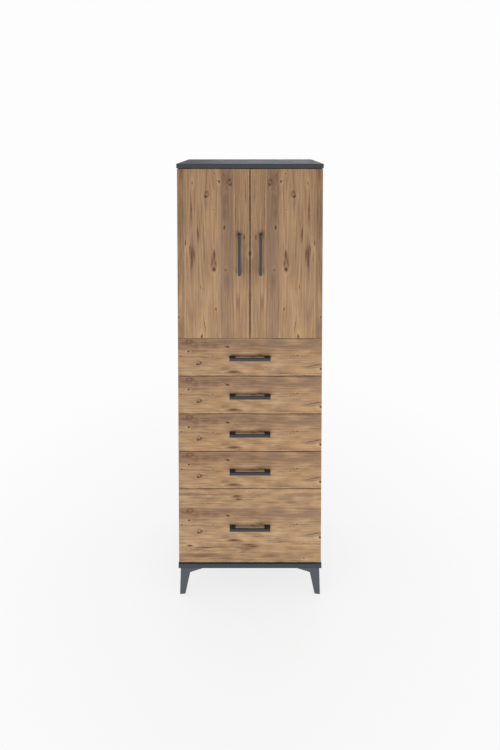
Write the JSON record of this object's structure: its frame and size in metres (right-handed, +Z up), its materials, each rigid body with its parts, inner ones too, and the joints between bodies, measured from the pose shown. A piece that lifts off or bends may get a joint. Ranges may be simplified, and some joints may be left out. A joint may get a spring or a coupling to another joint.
{
  "type": "drawer cabinet",
  "caption": "Tall free-standing cabinet on tapered moulded legs, with hinged doors over sliding drawers, bow handles and dark top and base panels.",
  "frame": {"origin": "on the floor, under the middle of the box round the whole object", "axes": "+Z up, -Y towards the front with the doors and drawers, +X to the right of someone facing the front"},
  "size_m": [0.6, 0.4186, 1.818],
  "materials": {
    "knotty_wood_fronts": "satin wood decor foil with knots",
    "knotty_wood_carcass": "satin wood decor foil",
    "anthracite_board": "matt dark grey laminate",
    "anthracite_plastic": "moulded, finely grained",
    "anthracite_metal": "matt powder coat",
    "hardboard": "smooth hardboard, coated pale",
    "drawer_board": "pale grey laminate",
    "zinc_steel": "bright zinc"
  },
  "bodies": {
    "carcass": {"top_panel": "anthracite_board", "base_panel": "anthracite_board", "left_side_panel": "knotty_wood_carcass", "right_side_panel": "knotty_wood_carcass", "fixed_shelf": "knotty_wood_carcass", "adjustable_shelves": "knotty_wood_carcass", "shelf_pins": "zinc_steel", "back_panel": "hardboard", "legs": "anthracite_plastic", "carcass_fasteners": "zinc_steel", "hinge_arms": "zinc_steel", "cabinet_runners": "zinc_steel"},
    "left_door": {"left_door_panel": "knotty_wood_fronts", "left_door_handle": "anthracite_metal", "left_door_handle_screws": "zinc_steel", "left_door_hinge_cups": "zinc_steel"},
    "right_door": {"right_door_panel": "knotty_wood_fronts", "right_door_handle": "anthracite_metal", "right_door_handle_screws": "zinc_steel", "right_door_hinge_cups": "zinc_steel"},
    "drawer_1": {"drawer_1_front": "knotty_wood_fronts", "drawer_1_sides": "drawer_board", "drawer_1_back": "drawer_board", "drawer_1_bottom": "hardboard", "drawer_1_handle": "anthracite_metal", "drawer_1_fasteners": "zinc_steel", "drawer_1_drawer_runners": "zinc_steel"},
    "drawer_1_middle": {"drawer_1_middle_runners": "zinc_steel"},
    "drawer_2": {"drawer_2_front": "knotty_wood_fronts", "drawer_2_sides": "drawer_board", "drawer_2_back": "drawer_board", "drawer_2_bottom": "hardboard", "drawer_2_handle": "anthracite_metal", "drawer_2_fasteners": "zinc_steel", "drawer_2_drawer_runners": "zinc_steel"},
    "drawer_2_middle": {"drawer_2_middle_runners": "zinc_steel"},
    "drawer_3": {"drawer_3_front": "knotty_wood_fronts", "drawer_3_sides": "drawer_board", "drawer_3_back": "drawer_board", "drawer_3_bottom": "hardboard", "drawer_3_handle": "anthracite_metal", "drawer_3_fasteners": "zinc_steel", "drawer_3_drawer_runners": "zinc_steel"},
    "drawer_3_middle": {"drawer_3_middle_runners": "zinc_steel"},
    "drawer_4": {"drawer_4_front": "knotty_wood_fronts", "drawer_4_sides": "drawer_board", "drawer_4_back": "drawer_board", "drawer_4_bottom": "hardboard", "drawer_4_handle": "anthracite_metal", "drawer_4_fasteners": "zinc_steel", "drawer_4_drawer_runners": "zinc_steel"},
    "drawer_4_middle": {"drawer_4_middle_runners": "zinc_steel"},
    "drawer_5": {"drawer_5_front": "knotty_wood_fronts", "drawer_5_sides": "drawer_board", "drawer_5_back": "drawer_board", "drawer_5_bottom": "hardboard", "drawer_5_handle": "anthracite_metal", "drawer_5_fasteners": "zinc_steel", "drawer_5_drawer_runners": "zinc_steel"},
    "drawer_5_middle": {"drawer_5_middle_runners": "zinc_steel"}
  },
  "joints": [
    {"name": "left_door_swing", "type": "hinge", "parent": "carcass", "child": "left_door", "pos_m": [-0.291, -0.17675, 1.44675], "axis": [0, 0, -1], "range_deg": [0, 95]},
    {"name": "right_door_swing", "type": "hinge", "parent": "carcass", "child": "right_door", "pos_m": [0.291, -0.17675, 1.44675], "axis": [0, 0, 1], "range_deg": [0, 95]},
    {"name": "drawer_1_slide", "type": "slide", "parent": "carcass", "child": "drawer_1", "axis": [0, -1, 0], "range_m": [0, 0.34]},
    {"name": "drawer_1_middle_slide", "type": "slide", "parent": "carcass", "child": "drawer_1_middle", "axis": [0, -1, 0], "range_m": [0, 0.17]},
    {"name": "drawer_2_slide", "type": "slide", "parent": "carcass", "child": "drawer_2", "axis": [0, -1, 0], "range_m": [0, 0.34]},
    {"name": "drawer_2_middle_slide", "type": "slide", "parent": "carcass", "child": "drawer_2_middle", "axis": [0, -1, 0], "range_m": [0, 0.17]},
    {"name": "drawer_3_slide", "type": "slide", "parent": "carcass", "child": "drawer_3", "axis": [0, -1, 0], "range_m": [0, 0.34]},
    {"name": "drawer_3_middle_slide", "type": "slide", "parent": "carcass", "child": "drawer_3_middle", "axis": [0, -1, 0], "range_m": [0, 0.17]},
    {"name": "drawer_4_slide", "type": "slide", "parent": "carcass", "child": "drawer_4", "axis": [0, -1, 0], "range_m": [0, 0.34]},
    {"name": "drawer_4_middle_slide", "type": "slide", "parent": "carcass", "child": "drawer_4_middle", "axis": [0, -1, 0], "range_m": [0, 0.17]},
    {"name": "drawer_5_slide", "type": "slide", "parent": "carcass", "child": "drawer_5", "axis": [0, -1, 0], "range_m": [0, 0.34]},
    {"name": "drawer_5_middle_slide", "type": "slide", "parent": "carcass", "child": "drawer_5_middle", "axis": [0, -1, 0], "range_m": [0, 0.17]}
  ],
  "couplings": [
    {"joint": "drawer_1_middle_slide", "follows": "drawer_1_slide", "ratio": 0.5},
    {"joint": "drawer_2_middle_slide", "follows": "drawer_2_slide", "ratio": 0.5},
    {"joint": "drawer_3_middle_slide", "follows": "drawer_3_slide", "ratio": 0.5},
    {"joint": "drawer_4_middle_slide", "follows": "drawer_4_slide", "ratio": 0.5},
    {"joint": "drawer_5_middle_slide", "follows": "drawer_5_slide", "ratio": 0.5}
  ]
}
